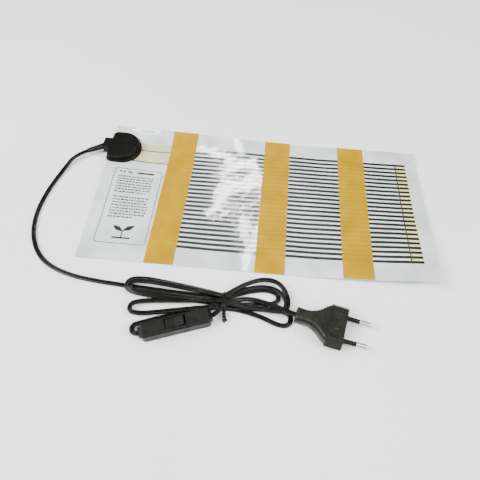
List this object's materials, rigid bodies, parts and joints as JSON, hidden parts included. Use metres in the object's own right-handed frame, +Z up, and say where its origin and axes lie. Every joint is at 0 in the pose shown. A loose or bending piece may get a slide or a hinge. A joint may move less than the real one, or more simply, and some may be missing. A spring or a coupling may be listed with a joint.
{
  "type": "seedling heat mat",
  "caption": "Flat laminated heating mat with printed carbon traces, peel-off adhesive strips, corner junction box, and a tied mains cord with inline rocker switch and flat plug.",
  "frame": {"origin": "middle of the mat's underside, on the surface it lies on", "axes": "+X along the mat's long side away from the junction box, +Y across the mat towards the junction box's side, +Z up out of the heated face"},
  "size_m": [0.3495, 0.2165, 0.0141],
  "materials": {
    "white_film": "satin",
    "clear_film": "gloss",
    "carbon_ink": "matte",
    "busbar_foil": "satin",
    "adhesive": "matte",
    "liner_paper": "satin",
    "black_abs": "satin",
    "black_pvc": "satin",
    "potting": "matte",
    "brass": "machined",
    "nickel": "polished",
    "screw_steel": "zinc plated",
    "core_insulation": "gloss",
    "tie_wire": "satin"
  },
  "bodies": {
    "mat": {"backing_film": "white_film", "edge_seal": "clear_film", "top_film": "clear_film", "carbon_traces": "carbon_ink", "bus_bar_live": "busbar_foil", "bus_bar_neutral": "busbar_foil", "bus_bar_far": "busbar_foil", "lead_strip_live": "busbar_foil", "lead_strip_neutral": "busbar_foil", "adhesive_tape_left": "adhesive", "adhesive_tape_centre": "adhesive", "adhesive_tape_right": "adhesive", "liner_left": "liner_paper", "liner_centre": "liner_paper", "liner_right": "liner_paper", "junction_base": "black_abs", "junction_cover": "black_abs", "junction_screws": "screw_steel", "junction_potting": "potting", "crimp_terminals": "brass", "junction_cores": "core_insulation", "cable_boot": "black_pvc", "cord_lead": "black_pvc", "cord_hank": "black_pvc", "cord_switch": "black_pvc", "cord_plug": "black_pvc", "twist_tie": "tie_wire", "switch_base": "black_abs", "switch_cover": "black_abs", "rocker_pin": "screw_steel", "terminal_live_in": "brass", "terminal_live_out": "brass", "terminal_screws": "screw_steel", "switch_cord_ends": "black_pvc", "live_cores": "core_insulation", "neutral_core": "core_insulation", "cord_clamps": "black_abs", "clamp_screws": "screw_steel", "switch_screws": "screw_steel", "plug_body": "black_pvc", "plug_pin_live": "nickel", "plug_pin_neutral": "nickel", "pin_sleeve_live": "black_abs", "pin_sleeve_neutral": "black_abs", "pin_crimps": "brass", "pin_bridge": "black_abs", "plug_cores": "core_insulation"},
    "rocker": {"rocker": "black_abs"},
    "contact": {"contact_bar": "brass"}
  },
  "joints": [
    {"name": "rocker_hinge", "type": "hinge", "parent": "mat", "child": "rocker", "pos_m": [-0.0542, -0.1272, 0.0074], "axis": [-0.342, 0.9397, 0], "range_deg": [0, 14]},
    {"name": "contact_rock", "type": "hinge", "parent": "mat", "child": "contact", "pos_m": [-0.0542, -0.1272, 0.0038], "axis": [-0.342, 0.9397, 0], "range_deg": [-10, 0]}
  ],
  "couplings": [
    {"joint": "contact_rock", "follows": "rocker_hinge", "ratio": -0.71429}
  ]
}
